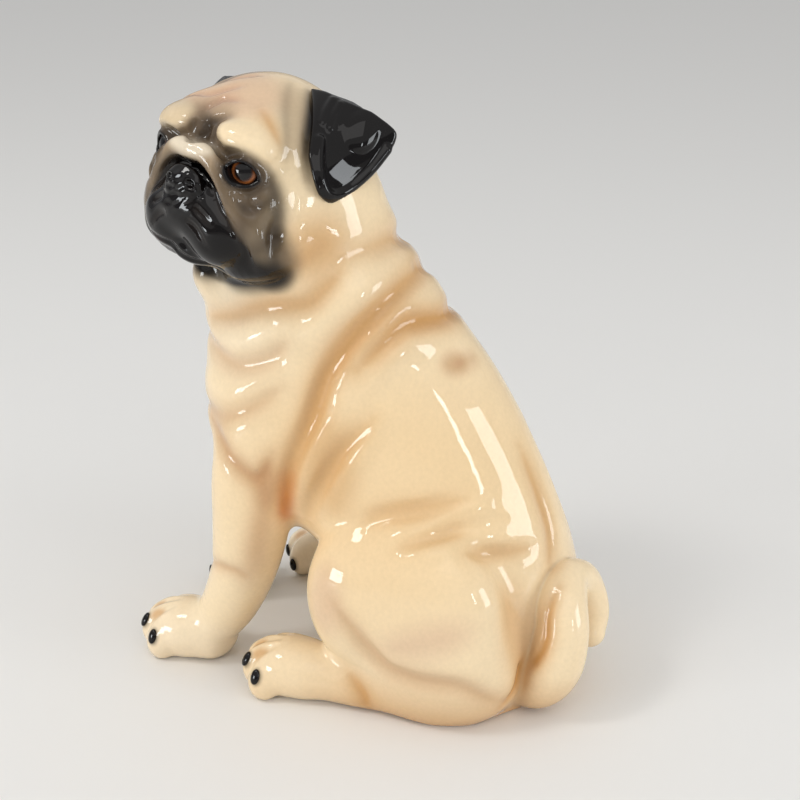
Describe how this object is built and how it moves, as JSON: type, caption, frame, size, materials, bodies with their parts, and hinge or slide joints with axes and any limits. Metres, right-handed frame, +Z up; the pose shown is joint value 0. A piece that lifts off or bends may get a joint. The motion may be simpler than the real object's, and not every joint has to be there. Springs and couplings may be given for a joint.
{
  "type": "dog figurine",
  "caption": "Seated pug dog figurine in glazed, airbrushed porcelain, head turned over its left shoulder, standing free on a flat foot ring.",
  "frame": {"origin": "on the floor plane, under the middle of the figure's box", "axes": "+Z up, the body faces -Y, the dog's own left side is +X"},
  "size_m": [0.1634, 0.2435, 0.3011],
  "materials": {
    "glazed_cream": "gloss",
    "glazed_black": "gloss"
  },
  "bodies": {
    "root": {"torso_shell": "glazed_cream", "head_shell": "glazed_cream", "left_ear": "glazed_black", "right_ear": "glazed_black", "left_foreleg": "glazed_cream", "right_foreleg": "glazed_cream", "left_hind_foot": "glazed_cream", "right_hind_foot": "glazed_cream", "tail": "glazed_cream"}
  },
  "joints": []
}
